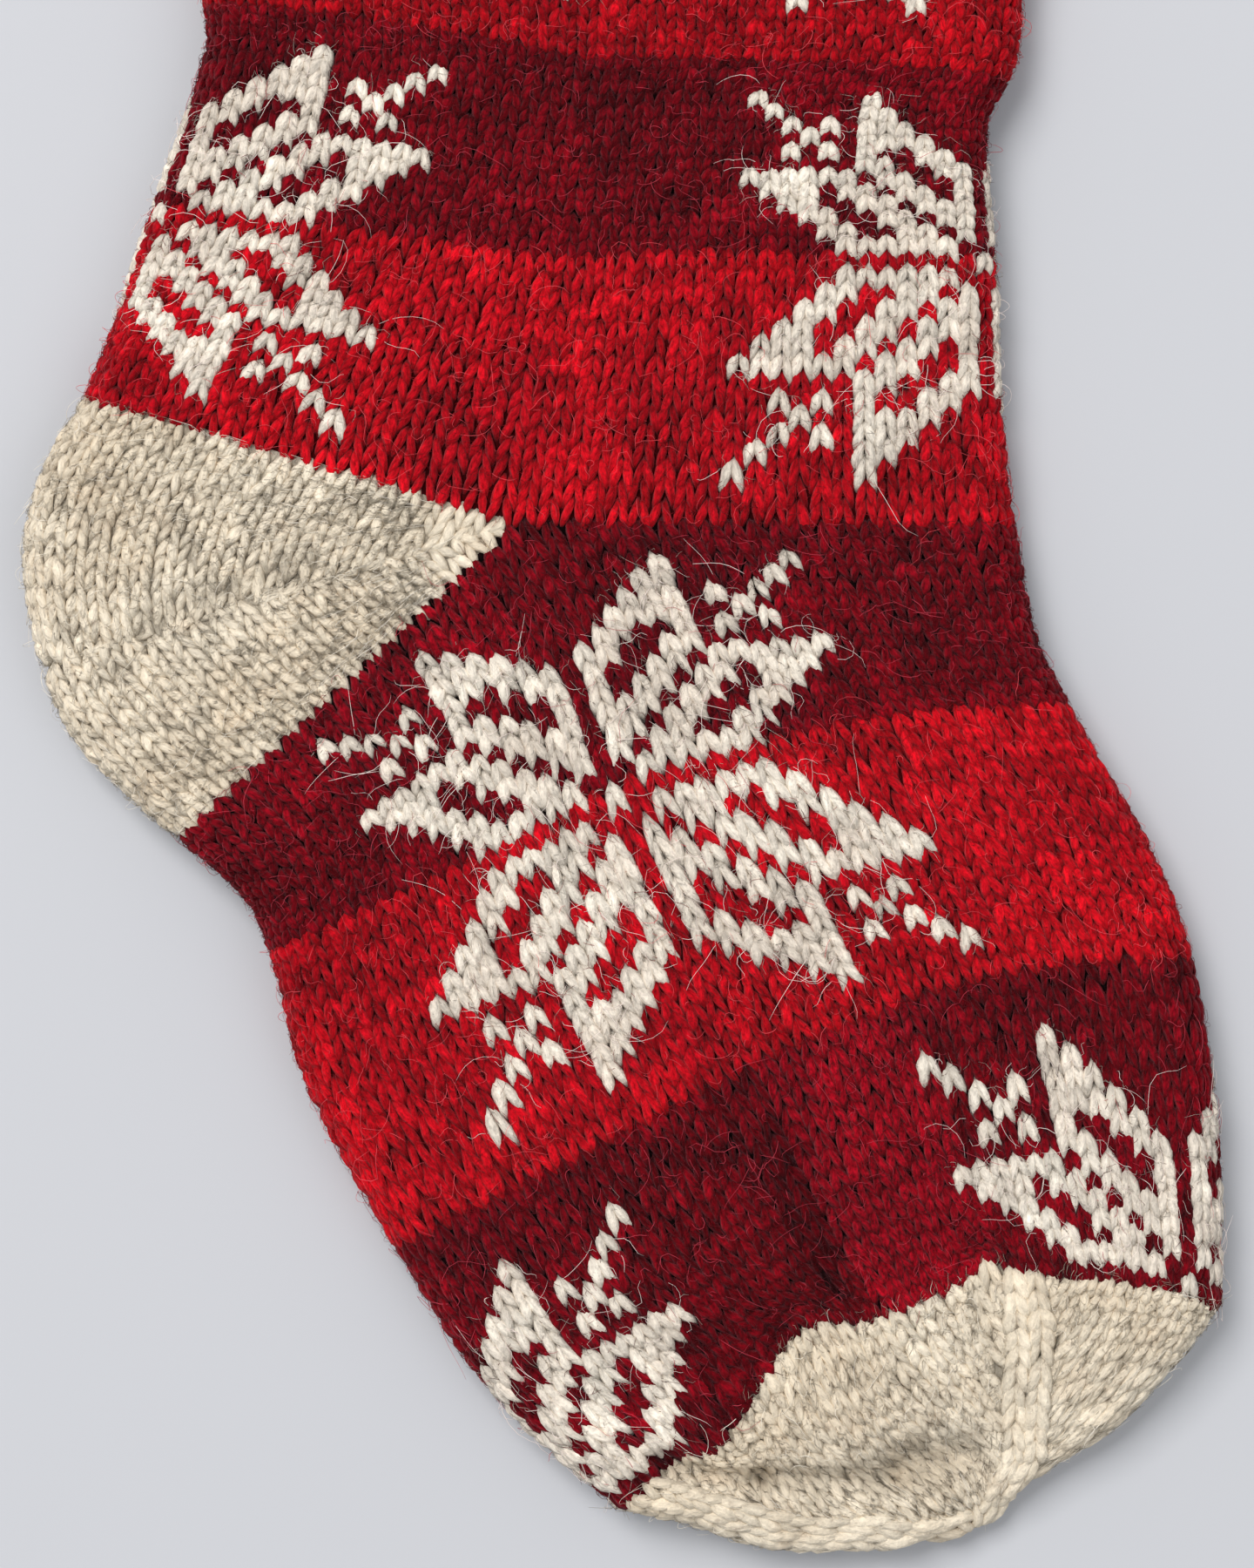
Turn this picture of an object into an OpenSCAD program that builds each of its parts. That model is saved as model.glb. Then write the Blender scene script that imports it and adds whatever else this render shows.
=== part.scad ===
// Knitted stocking lying flat on its back face, with a ribbed cuff, a turned heel,
// a gathered toe, inlaid eight-point stars and a hanging loop.
// +X points from the heel side to the instep side, +Y up the leg to the mouth, +Z up
// off the surface that it lies on. Every course line is placed from the heel point,
// where the heel wedge meets the two courses beside it, and the model is then moved so
// that its origin is the middle of its footprint.

/* [Leg] */
// Flat width of the leg
leg_w = 187; // [150:1:230]
// Height of the mouth above the heel point
leg_len = 290; // [230:1:350]
// Depth of the ribbed cuff
cuff_h = 50; // [30:1:70]

/* [Heel] */
// Reach of the heel behind the heel point
heel_out = 112; // [90:1:135]
// Height of the heel's top corner above the heel point
heel_rise = 29; // [20:1:36]
// Drop of the heel's bottom corner below the heel point
heel_drop = 72; // [58:1:88]
// Flat width of the instep, from the heel point to its edge
instep_w = 114.6; // [95:1:140]

/* [Foot] */
// Drop of the toe end below the heel point
foot_len = 237; // [195:1:290]
// Flat width of the foot across the ball
foot_w = 193; // [160:1:235]

/* [Fabric] */
// Thickness of the knitted wall
wall = 3; // [2:0.1:4]
// Thickness of the stocking as it lies, at the leg and the foot
flat_h = 18; // [14:0.5:26]
// How far the stars and the ribs stand out of the plain fabric
relief = 0.5; // [0.3:0.1:1]
// How deep the star stitches sit in the fabric
star_depth = 0.6; // [0.3:0.1:1.2]
// Depth of the grooves between the ribs of the cuff
rib_groove = 0.6; // [0.2:0.1:1.2]

/* [Loop] */
// Thickness of the cord that the hanging loop is knitted as
loop_d = 6; // [4:0.5:8]
// Length of the hanging loop from its hinge line to its far end
loop_len = 52; // [35:1:80]
// Distance of the loop's middle from the heel-side edge of the cuff
loop_inset = 22; // [20:1:60]
// Width of the sewn tack that holds the loop
tack_w = 10; // [8:1:16]
// Clearance round the cord inside its tack
tack_clear = 0.3; // [0.1:0.05:0.6]

/* [Hidden] */
LEG_BANDS = ["leg_red_upper", "leg_dark_upper", "leg_red_middle", "leg_dark_lower", "leg_red_ankle"];
FOOT_BANDS = ["foot_dark_instep", "foot_red", "foot_dark_toe"];
STARS = ["star_leg_front", "star_leg_back", "star_ankle_heel_side", "star_ankle_instep_side",
         "star_foot_front", "star_foot_sole", "star_toe_sole_side", "star_toe_instep_side"];

CREAM = [0.86, 0.82, 0.74];
RED = [0.78, 0.09, 0.13];
DARK = [0.42, 0.04, 0.10];

// Stitches in half a round, and how many of them lie on the heel side of the heel point
half_cols = 44;
heel_cols = 21;
cols = 2 * half_cols;
// Rows from the cuff down to the heel, and the rows at which each band of colour ends
leg_rows = 71;
leg_band_rows = [0, 10, 24, 41, 55, leg_rows];
foot_band_rows = [leg_rows, 85, 102, 120];
toe_rows = 16;
toe_row = foot_band_rows[3];
// The star: rows and stitches from its centre to its tips and to the notches between them
star_tips = [[6, 12.5], [12.5, 6]];
star_notches = [[5.5, 6.5], [6, 0], [0, 7]];

leg_mid = 22;
leg_top = leg_len - cuff_h;
lift = relief;

// A course is [back end, heel-line point, front end, back bend, front bend, thickness],
// flattened to nine numbers so that whole courses can be blended.
function course(b, m, f, bends, h) = [b.x, b.y, m.x, m.y, f.x, f.y, bends.x, bends.y, h];
function back_of(c) = [c[0], c[1]];
function mid_of(c) = [c[2], c[3]];
function front_of(c) = [c[4], c[5]];

// Courses of the leg: offset of the heel-side edge and of the instep edge from the plain
// leg, rise of each end over the middle, and the middle's offset from the leg's centre.
function leg_course(row, back, front, back_rise, front_rise, mid, bends) =
  let (y = leg_top * (leg_rows - row) / leg_rows)
  course([leg_mid - leg_w / 2 + back, y + back_rise], [leg_mid + mid, y],
         [leg_mid + leg_w / 2 + front, y + front_rise], bends, flat_h);
ankle_course = course([leg_mid - leg_w / 2 - 26.7, heel_rise], [0, 0], [instep_w, 0], [0, 0], flat_h);
leg_courses = [
  [0, leg_course(0, 0, 0, 0, 0, -5, [0, 0])],
  [24, leg_course(24, 0, 1, 10, -2, -5, [1, 0])],
  [38, leg_course(38, 0, 0, 12, -4, -5, [2, 1])],
  [43, leg_course(43, 1, -7, 14, -3, -7, [1, 2])],
  [55, leg_course(55, -13, -5, 13, 1, -13, [0, 1])],
  [63, course([leg_mid - leg_w / 2 - 19, 48], [4.5, leg_top * 8 / leg_rows], [instep_w - 3, 27.5], [0, 0], flat_h)],
  [leg_rows, ankle_course]];

// Courses of the foot, as offsets along and across it from the heel point
foot_k = foot_len / 237;
width_k = foot_w / 193;
function foot_course(back, mid, front, bends, h) =
  let (m = mid * foot_k)
  course(m + (back - mid) * width_k, m, m + (front - mid) * width_k, bends * width_k, h);
toe_line = foot_course([24, -226], [84, -181], [162, -179], [4, 8], flat_h);
heel_end = course([leg_mid - leg_w / 2 - 5.5, -heel_drop], [0, 0], [instep_w, 0], [0, 0], flat_h);
foot_courses = [
  [leg_rows, heel_end],
  [79, foot_course([-61, -87], [16, -36], [120, -27], [0, 3], flat_h)],
  [85, foot_course([-55, -101], [26, -64], [129, -45], [-1, 5], flat_h)],
  [93, foot_course([-47, -130], [42, -97], [146, -75], [0, 6], flat_h)],
  [102, foot_course([-26, -168], [56, -126], [156, -102], [0, 7], flat_h)],
  [111, foot_course([-5, -199], [69, -155], [161.5, -142], [0, 7], flat_h)],
  [toe_row, toe_line]];
toe_courses = [
  [toe_row, toe_line],
  [toe_row + 5, foot_course([39, -229], [88, -197], [155, -189], [2, 6], flat_h - 1)],
  [toe_row + 10, foot_course([60, -235.5], [94, -212], [138, -207.5], [1, 3], flat_h - 4)],
  [toe_row + 14, foot_course([84, -235.5], [103, -224], [119, -220], [0, 1], flat_h - 8)],
  [toe_row + toe_rows, foot_course([97, -232], [106, -227.5], [113, -225], [0, 0], flat_h - 11)]];

// The edge of the heel, from its top corner to its bottom corner
heel_edge = [back_of(ankle_course), [3 - heel_out, heel_rise * 0.31], [-heel_out, -heel_drop * 0.18],
             [8 - heel_out, -heel_drop * 0.61], [23 - heel_out, -heel_drop * 0.86], back_of(heel_end)];

// Smooth blend of a list of [parameter, vector] stations at parameter r
function clamp(i, n) = min(max(i, 0), n);
function slope(t, i) =
  let (n = len(t) - 1, a = clamp(i - 1, n), b = clamp(i + 1, n))
  (t[b][1] - t[a][1]) / (t[b][0] - t[a][0]);
function blend(t, r) =
  let (i = max([for (k = [0:len(t) - 2]) if (k == 0 || t[k][0] <= r) k]),
       span = t[i + 1][0] - t[i][0], s = (r - t[i][0]) / span, s2 = s * s, s3 = s2 * s)
  t[i][1] * (2 * s3 - 3 * s2 + 1) + slope(t, i) * span * (s3 - 2 * s2 + s)
  + t[i + 1][1] * (3 * s2 - 2 * s3) + slope(t, i + 1) * span * (s3 - s2);

// Point on a course at a distance d from its back end
function bent(p, q, s, bend) = p + (q - p) * s + [0, 4 * s * (1 - s) * bend];
function on_course(c, d) =
  let (lb = norm(mid_of(c) - back_of(c)), lf = norm(front_of(c) - mid_of(c)))
  d < lb ? bent(back_of(c), mid_of(c), d / lb, c[6]) : bent(mid_of(c), front_of(c), (d - lb) / lf, c[7]);

// Lengths round half of the flattened section, from the back edge to the heel line and on
// to the front edge; the section has half-round edges and flat faces.
function radius(c) = c[8] / 2;
function arc_len(c) = PI * radius(c) / 2;
function back_len(c) = norm(mid_of(c) - back_of(c)) - radius(c) + arc_len(c);
function half_len(c) = back_len(c) + norm(front_of(c) - mid_of(c)) - radius(c) + arc_len(c);

// Point of the section at length q from the back edge, on the upper or lower face, and
// "grow" outside the plain outer surface
function skin(c, q, side, grow) =
  let (r = radius(c), w = norm(mid_of(c) - back_of(c)) + norm(front_of(c) - mid_of(c)),
       arc = arc_len(c), total = half_len(c),
       a = q < arc ? q / r * 180 / PI : q > total - arc ? (total - q) / r * 180 / PI : 90,
       d = q < arc ? r - (r + grow) * cos(a) : q > total - arc ? w - r + (r + grow) * cos(a) : r + q - arc,
       p = on_course(c, d))
  [p.x, p.y, lift + r + side * (r + grow) * sin(a)];

// The same, at a stitch number counted round the tube from the back edge
function stitch(c, col, grow) =
  let (w = ((col % cols) + cols) % cols, side = w <= half_cols ? 1 : -1, k = side > 0 ? w : cols - w,
       q = k <= heel_cols ? back_len(c) * k / heel_cols
         : back_len(c) + (half_len(c) - back_len(c)) * (k - heel_cols) / (half_cols - heel_cols))
  skin(c, q, side, grow);

// Lengths at which a section is cut into points: the round edges, the faces and the heel line
edge_steps = 4;
face_steps = 5;
function back_cuts(c) = concat([for (i = [1:edge_steps]) arc_len(c) * i / edge_steps],
  [for (i = [1:face_steps]) arc_len(c) + (back_len(c) - arc_len(c)) * i / face_steps]);
function front_cuts(c) = let (rest = half_len(c) - back_len(c) - arc_len(c)) concat(
  [for (i = [1:face_steps]) back_len(c) + rest * i / face_steps],
  [for (i = [1:edge_steps - 1]) back_len(c) + rest + arc_len(c) * i / edge_steps]);
function reversed(v) = [for (i = [len(v) - 1:-1:0]) v[i]];
function section(c, grow) = let (cuts = concat(back_cuts(c), front_cuts(c))) concat(
  [skin(c, 0, 1, grow)], [for (q = cuts) skin(c, q, 1, grow)],
  [skin(c, half_len(c), 1, grow)], [for (q = reversed(cuts)) skin(c, q, -1, grow)]);
function shifted(pts, dy) = [for (p = pts) p + [0, dy, 0]];

// Two triangles between the point pairs a-b and c-d
function quad(a, b, c, d) = [[a, b, c], [b, d, c]];
function flat(v) = [for (part = v) each part];

// Solid between stacks of outer and inner closed sections, open along its middle
module sleeve(outer, inner) {
  n = len(outer[0]);
  last = len(outer) - 1;
  in0 = n * (last + 1);
  function o(k, i) = k * n + i % n;
  function s(k, i) = in0 + k * n + i % n;
  faces = flat([for (i = [0:n - 1]) concat(
    flat([for (k = [0:last - 1]) concat(quad(o(k, i), o(k, i + 1), o(k + 1, i), o(k + 1, i + 1)),
                                        quad(s(k, i + 1), s(k, i), s(k + 1, i + 1), s(k + 1, i)))]),
    quad(o(0, i + 1), o(0, i), s(0, i + 1), s(0, i)),
    quad(o(last, i), o(last, i + 1), s(last, i), s(last, i + 1)))]);
  polyhedron(points = concat(flat(outer), flat(inner)), faces = faces);
}

// Band of knitting between two rows of a set of courses
module band(courses, row0, row1, steps) {
  rows = [for (k = [0:steps]) blend(courses, row0 + (row1 - row0) * k / steps)];
  sleeve([for (c = rows) section(c, 0)], [for (c = rows) section(c, -wall)]);
}

// Outline of a star in stitches and rows round its centre, every second point being a tip
function mirror_round(tips, notches) = let (t = tips, n = notches) [
  [t[0].x, t[0].y], n[0], [t[1].x, t[1].y], n[1],
  [t[1].x, -t[1].y], [n[0].x, -n[0].y], [t[0].x, -t[0].y], [0, -n[2].y],
  [-t[0].x, -t[0].y], [-n[0].x, -n[0].y], [-t[1].x, -t[1].y], [-n[1].x, 0],
  [-t[1].x, t[1].y], [-n[0].x, n[0].y], [-t[0].x, t[0].y], [0, n[2].y]];
star_outline = mirror_round(star_tips, star_notches);
star_side = 2;
function star_rim(i) = let (a = floor(i / star_side), f = (i % star_side) / star_side, n = len(star_outline))
  star_outline[a % n] * (1 - f) + star_outline[(a + 1) % n] * f;

// Star inlaid round stitch col and row of the fabric, cut into rings of points from its
// centre out; its rays stop at the last row
module star(courses, col, row, last_row, rings) {
  n = len(star_outline) * star_side;
  room = last_row - row;
  function reach(p) = -p.y > room ? room / -p.y : 1;
  function spot(k, i) = let (rim = star_rim(i), p = rim * reach(rim) * k / rings) [col + p.x, row - p.y];
  function at(p, grow) = stitch(blend(courses, p.y), p.x, grow);
  rim = [for (k = [1:rings], i = [0:n - 1]) spot(k, i)];
  top = concat([at([col, row], relief)], [for (p = rim) at(p, relief)]);
  low = concat([at([col, row], -star_depth)], [for (p = rim) at(p, -star_depth)]);
  m = len(top);
  function t(k, i) = 1 + (k - 1) * n + i % n;
  faces = flat([for (i = [0:n - 1]) concat(
    [[0, t(1, i + 1), t(1, i)], [m, m + t(1, i), m + t(1, i + 1)]],
    flat([for (k = [1:rings - 1]) concat(
      quad(t(k, i), t(k, i + 1), t(k + 1, i), t(k + 1, i + 1)),
      quad(m + t(k, i + 1), m + t(k, i), m + t(k + 1, i + 1), m + t(k + 1, i)))]),
    quad(t(rings, i), t(rings, i + 1), m + t(rings, i), m + t(rings, i + 1)))]);
  polyhedron(points = concat(top, low), faces = faces);
}

// Footprint of the whole object, measured on its edges, and the move that centres it
steps_out = 40;
edge_rows = [for (k = [0:steps_out]) k / steps_out];
edge_points = concat(
  [for (s = edge_rows) blend(leg_courses, s * leg_rows)],
  [for (s = edge_rows) blend(foot_courses, leg_rows + s * (toe_row - leg_rows))],
  [for (s = edge_rows) blend(toe_courses, toe_row + s * toe_rows)]);
heel_points = [for (k = [0:steps_out]) heel_at(k / steps_out)];
loop_x = leg_mid - leg_w / 2 + loop_inset;
tack_r = loop_d / 2 + tack_clear + 1;
rim_y = leg_len + wall + relief;
hinge_y = rim_y + tack_r + 0.5;
hinge_z = tack_r + 0.1;
min_x = min([for (p = heel_points) p.x]);
max_x = max([for (c = edge_points) c[4]]);
min_y = min([for (c = edge_points) min(c[1], c[5])]);
max_y = hinge_y + loop_len;
centre = [(min_x + max_x) / 2, (min_y + max_y) / 2, 0];

function heel_at(s) =
  let (n = len(heel_edge) - 1, t = [for (i = [0:n]) [i / n, heel_edge[i]]]) blend(t, s);

module placed() { translate(-centre) children(); }

module cast_on_edge() {
  c = leg_courses[0][1];
  turns = [0, 20, 40, 60, 80];
  color(CREAM) placed() sleeve(
    reversed([for (a = turns) shifted(section(c, (wall + relief) * cos(a) - wall), cuff_h + (wall + relief) * sin(a))]),
    reversed([for (a = turns) shifted(section(c, -wall), cuff_h + (wall + relief) * sin(a))]));
}

// Two-and-two rib: each rib is two stitches wide and stands out, each groove sinks in
module cuff_rib() {
  c = leg_courses[0][1];
  ends = [cuff_h, cuff_h / 2, 0];
  function ribbed(grow_rib, grow_groove) = [for (i = [0:cols / 4 - 1], e = [0.2, 1.8, 2.2, 3.8])
    stitch(c, 4 * i + e, e < 2 ? grow_rib : grow_groove)];
  color(CREAM) placed() sleeve([for (y = ends) shifted(ribbed(relief, -rib_groove), y)],
                               [for (y = ends) shifted(ribbed(-wall, -wall), y)]);
}

module leg_band(i) {
  rows = leg_band_rows;
  color(i % 2 == 0 ? RED : DARK) placed() band(leg_courses, rows[i], rows[i + 1], i == 0 ? 3 : 6);
}

module foot_band(i) {
  rows = foot_band_rows;
  color(i % 2 == 1 ? RED : DARK) placed() band(foot_courses, rows[i], rows[i + 1], 6);
}

// Wedge of short rows that turns the heel: its sections fan round the heel point
module heel_turn() {
  fans = 12;
  function heel_course(k) = course(heel_at(k / fans), [0, 0], [instep_w, 0], [0, 0], flat_h);
  function path(c, grow) = let (cuts = back_cuts(c), n = len(cuts) - 2) concat(
    [for (i = [n:-1:0]) skin(c, cuts[i], -1, grow)], [skin(c, 0, 1, grow)], [for (i = [0:n]) skin(c, cuts[i], 1, grow)]);
  outer = [for (k = [0:fans]) path(heel_course(k), 0)];
  inner = [for (k = [0:fans]) path(heel_course(k), -wall)];
  n = len(outer[0]);
  tips = [for (g = [0, -wall], side = [-1, 1]) skin(heel_course(0), back_len(heel_course(0)), side, g)];
  function o(k, i) = i < 0 ? 0 : i >= n ? 1 : 4 + k * n + i;
  function s(k, i) = i < 0 ? 2 : i >= n ? 3 : 4 + (fans + 1 + k) * n + i;
  skins = flat([for (k = [0:fans - 1]) concat(
    [[o(k, n - 1), o(0, n), o(k + 1, n - 1)], [o(0, -1), o(k, 0), o(k + 1, 0)]],
    [[s(0, n), s(k, n - 1), s(k + 1, n - 1)], [s(k, 0), s(0, -1), s(k + 1, 0)]],
    flat([for (i = [0:n - 2]) concat(quad(o(k, i), o(k, i + 1), o(k + 1, i), o(k + 1, i + 1)),
                                     quad(s(k, i + 1), s(k, i), s(k + 1, i + 1), s(k + 1, i)))]))]);
  caps = flat([for (i = [-1:n - 1]) concat(quad(o(0, i + 1), o(0, i), s(0, i + 1), s(0, i)),
                                           quad(o(fans, i), o(fans, i + 1), s(fans, i), s(fans, i + 1)))]);
  color(CREAM) placed() polyhedron(points = concat(tips, flat(outer), flat(inner)), faces = concat(skins, caps));
}

module toe_cap() {
  color(CREAM) placed() band(toe_courses, toe_row, toe_row + toe_rows, 9);
}

// The last stitches, drawn together into a small rounded end
module toe_gather() {
  end = toe_courses[len(toe_courses) - 1][1];
  turns = [0, 30, 55];
  depth = radius(end) * 0.8;
  away = [0.35, -0.94, 0];
  rings = [for (a = turns) [for (p = section(end, -radius(end) * (1 - cos(a)))) p + away * depth * sin(a)]];
  n = len(rings[0]);
  last = len(turns) - 1;
  skins = flat([for (k = [0:last - 1], i = [0:n - 1])
    quad(k * n + i, k * n + (i + 1) % n, (k + 1) * n + i, (k + 1) * n + (i + 1) % n)]);
  hubs = [for (k = [0, last]) (rings[k][0] + rings[k][n / 2]) / 2];
  hub = n * (last + 1);
  ends = flat([for (i = [0:n - 1])
    [[hub, (i + 1) % n, i], [hub + 1, last * n + i, last * n + (i + 1) % n]]]);
  color(CREAM) placed() polyhedron(points = concat(flat(rings), hubs), faces = concat(skins, ends));
}

// Stars are centred where a dark band meets the red one below it. Those of the leg and
// the foot sit on the two faces, half a round apart, and the others on the two edges.
flat_rings = 5;
edge_rings = 12;
leg_star_col = 25.7;
foot_star_col = 20.6;
star_places = [
  [leg_courses, leg_star_col, leg_band_rows[2], flat_rings],
  [leg_courses, leg_star_col + half_cols, leg_band_rows[2], flat_rings],
  [leg_courses, 1.3, leg_band_rows[4] - 1, edge_rings],
  [leg_courses, half_cols - 1.3, leg_band_rows[4] - 1, edge_rings],
  [foot_courses, foot_star_col, foot_band_rows[1] - 0.6, flat_rings],
  [foot_courses, foot_star_col + half_cols, foot_band_rows[1] - 0.6, flat_rings],
  [foot_courses, cols - 0.5, toe_row - 2, edge_rings],
  [foot_courses, half_cols - 3.7, toe_row - 2, edge_rings]];
module star_piece(i) {
  p = star_places[i];
  last_row = i < 4 ? leg_rows : toe_row;
  color(CREAM) placed() star(p[0], p[1], p[2], last_row, p[3]);
}

// Knitted cord bent into a closed loop: a bar in the tack, two legs and a round end
loop_r = tack_w / 2 + 1 + loop_d / 2;
bend_r = loop_d / 2 + 1;
module cord_bend(r, turn) { rotate_extrude(angle = turn) translate([r, 0]) circle(d = loop_d, $fn = 32); }
module hanging_loop() {
  leg_end = loop_len - loop_r - loop_d / 2;
  color(RED) placed() translate([loop_x, hinge_y, hinge_z]) {
    translate([bend_r - loop_r, 0, 0]) rotate([0, 90, 0])
      cylinder(d = loop_d, h = 2 * (loop_r - bend_r), $fn = 32);
    for (side = [-1, 1]) {
      translate([side * loop_r, bend_r, 0]) rotate([-90, 0, 0])
        cylinder(d = loop_d, h = leg_end - bend_r, $fn = 32);
      translate([side * (loop_r - bend_r), bend_r, 0]) rotate([0, 0, side > 0 ? -90 : 180]) cord_bend(bend_r, 90);
    }
    translate([0, leg_end, 0]) cord_bend(loop_r, 180);
  }
}

// Yarn sewn through the cuff and round the bar of the loop
tack_reach = 14;
module loop_tack() {
  color(RED) placed() translate([loop_x, hinge_y, 0]) difference() {
    union() {
      translate([-tack_w / 2, 0, hinge_z]) rotate([0, 90, 0]) cylinder(r = tack_r, h = tack_w, $fn = 48);
      translate([-tack_w / 2, rim_y - hinge_y - tack_reach, lift + wall])
        cube([tack_w, tack_reach + hinge_y - rim_y, 2]);
    }
    translate([-tack_w, 0, hinge_z]) rotate([0, 90, 0])
      cylinder(d = loop_d + 2 * tack_clear, h = 2 * tack_w, $fn = 48);
  }
}

cast_on_edge();
cuff_rib();
for (i = [0:len(LEG_BANDS) - 1]) leg_band(i);
heel_turn();
for (i = [0:len(FOOT_BANDS) - 1]) foot_band(i);
toe_cap();
toe_gather();
for (i = [0:len(STARS) - 1]) star_piece(i);
hanging_loop();
loop_tack();
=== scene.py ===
"""A knitted wool stocking, lying flat and seen from straight above.

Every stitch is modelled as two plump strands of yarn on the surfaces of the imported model. Lengths
are in millimetres, measured from the heel point, until a mesh is made in metres.
"""

import math

import bpy
import numpy as np
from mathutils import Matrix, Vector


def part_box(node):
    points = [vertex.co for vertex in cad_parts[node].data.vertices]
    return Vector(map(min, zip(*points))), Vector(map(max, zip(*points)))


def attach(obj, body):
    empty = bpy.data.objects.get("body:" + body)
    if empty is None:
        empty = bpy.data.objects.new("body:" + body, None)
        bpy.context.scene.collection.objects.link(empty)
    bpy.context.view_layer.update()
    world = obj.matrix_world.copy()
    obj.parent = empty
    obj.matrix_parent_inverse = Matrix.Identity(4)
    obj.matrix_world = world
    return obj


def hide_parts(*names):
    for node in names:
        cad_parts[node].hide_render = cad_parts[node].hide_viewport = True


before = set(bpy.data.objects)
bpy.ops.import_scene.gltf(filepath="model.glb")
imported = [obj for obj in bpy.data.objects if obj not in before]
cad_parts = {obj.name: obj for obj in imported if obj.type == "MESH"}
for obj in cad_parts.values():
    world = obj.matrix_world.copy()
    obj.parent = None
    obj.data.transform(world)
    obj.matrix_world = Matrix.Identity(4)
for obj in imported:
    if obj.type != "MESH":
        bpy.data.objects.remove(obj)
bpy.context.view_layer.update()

MM = 0.001
rng = np.random.default_rng(20)

# ---------------------------------------------------------------- sizes
COLS = 88                # stitches in a round, counted from the heel-side edge
HALF = COLS // 2
HEEL_COLS = 21           # stitches from the heel-side edge to the heel point
LEG_ROWS = 71            # course at the ankle line, counted from the cuff
TOE_ROW = 120            # course at which the toe begins
TOE_END = 136
WALL = 3.0
RELIEF = 0.5             # how far the stars stand out of the plain knitting
FLAT_H = 18.0            # thickness of the stocking as it lies
LEG_MID = 22.0           # from the heel point to the middle of the leg

cuff_low, cuff_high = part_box("cuff_rib")
CUFF_H = (cuff_high.y - cuff_low.y) / MM
LEG_W = (cuff_high.x - cuff_low.x) / MM - 2 * RELIEF
LEG_TOP = 240.0
LEG_LEN = LEG_TOP + CUFF_H
ORIGIN = np.array([(cuff_low.x + cuff_high.x) / 2 - LEG_MID * MM, cuff_high.y - LEG_LEN * MM, 0.0])
HEEL_OUT = 112.0         # from the heel point to the furthest of the heel
HEEL_RISE = 29.0         # of the heel's ankle line, at the back edge
HEEL_DROP = 72.0         # of the heel's foot line, at the back edge
INSTEP_W = 114.6         # from the heel point to the instep
STITCH_H = 3.6           # height and width of a stitch, for fibres and the loop
STITCH_W = 4.4


# ---------------------------------------------------------------- courses
# A course is a vector of its back end, heel-line point, front end, the bend of its back part and of
# its front part, and its thickness.
BACK, MID, FRONT = slice(0, 2), slice(2, 4), slice(4, 6)
BACK_BEND, FRONT_BEND, THICK = 6, 7, 8
EDGE_EXTRA = math.pi / 2 - 1     # how much longer the way round an edge is than its depth, in radii


def course(back, mid, front, bends=(0, 0), thick=FLAT_H):
    return np.array([*back, *mid, *front, *bends, thick], float)


def leg_course(row, back, front, back_rise, front_rise, mid, bends=(0, 0)):
    y = LEG_TOP * (LEG_ROWS - row) / LEG_ROWS
    leg_right = LEG_MID + LEG_W / 2
    return course((LEG_LEFT + back, y + back_rise), (LEG_MID + mid, y),
                  (leg_right + front, y + front_rise), bends)


LEG_LEFT = LEG_MID - LEG_W / 2
ANKLE = course((LEG_LEFT - 26.7, HEEL_RISE), (0, 0), (INSTEP_W, 0))
HEEL_END = course((LEG_LEFT - 5.5, -HEEL_DROP), (0, 0), (INSTEP_W, 0))
TOE_LINE = course((24, -226), (84, -181), (162, -179), (4, 8))
LEG = [
    (0, leg_course(0, 0, 0, 0, 0, -5)),
    (24, leg_course(24, 0, 1, 10, -2, -5, (1, 0))),
    (38, leg_course(38, 0, 0, 12, -4, -5, (2, 1))),
    (43, leg_course(43, 1, -7, 14, -3, -7, (1, 2))),
    (55, leg_course(55, -13, -5, 13, 1, -13, (0, 1))),
    (63, course((LEG_LEFT - 19, 48), (4.5, LEG_TOP * 8 / LEG_ROWS), (INSTEP_W - 3, 27.5))),
    (LEG_ROWS, ANKLE),
]
FOOT = [
    (LEG_ROWS, HEEL_END),
    (79, course((-61, -87), (16, -36), (120, -27), (0, 3))),
    (85, course((-55, -101), (26, -64), (129, -45), (-1, 5))),
    (93, course((-47, -130), (42, -97), (146, -75), (0, 6))),
    (102, course((-26, -168), (56, -126), (156, -102), (0, 7))),
    (111, course((-5, -199), (69, -155), (161.5, -142), (0, 7))),
    (TOE_ROW, TOE_LINE),
]
TOE = [
    (TOE_ROW, TOE_LINE),
    (125, course((39, -229), (88, -197), (155, -189), (2, 6), FLAT_H - 1)),
    (130, course((60, -235.5), (94, -212), (138, -207.5), (1, 3), FLAT_H - 4)),
    (134, course((84, -235.5), (103, -224), (119, -220), (0, 1), FLAT_H - 8)),
    (TOE_END, course((97, -232), (106, -227.5), (113, -225), (0, 0), FLAT_H - 11)),
]
HEEL_EDGE = [
    ANKLE[BACK], (3 - HEEL_OUT, HEEL_RISE * 0.31), (-HEEL_OUT, -HEEL_DROP * 0.18),
    (8 - HEEL_OUT, -HEEL_DROP * 0.61), (23 - HEEL_OUT, -HEEL_DROP * 0.86), HEEL_END[BACK],
]


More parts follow.
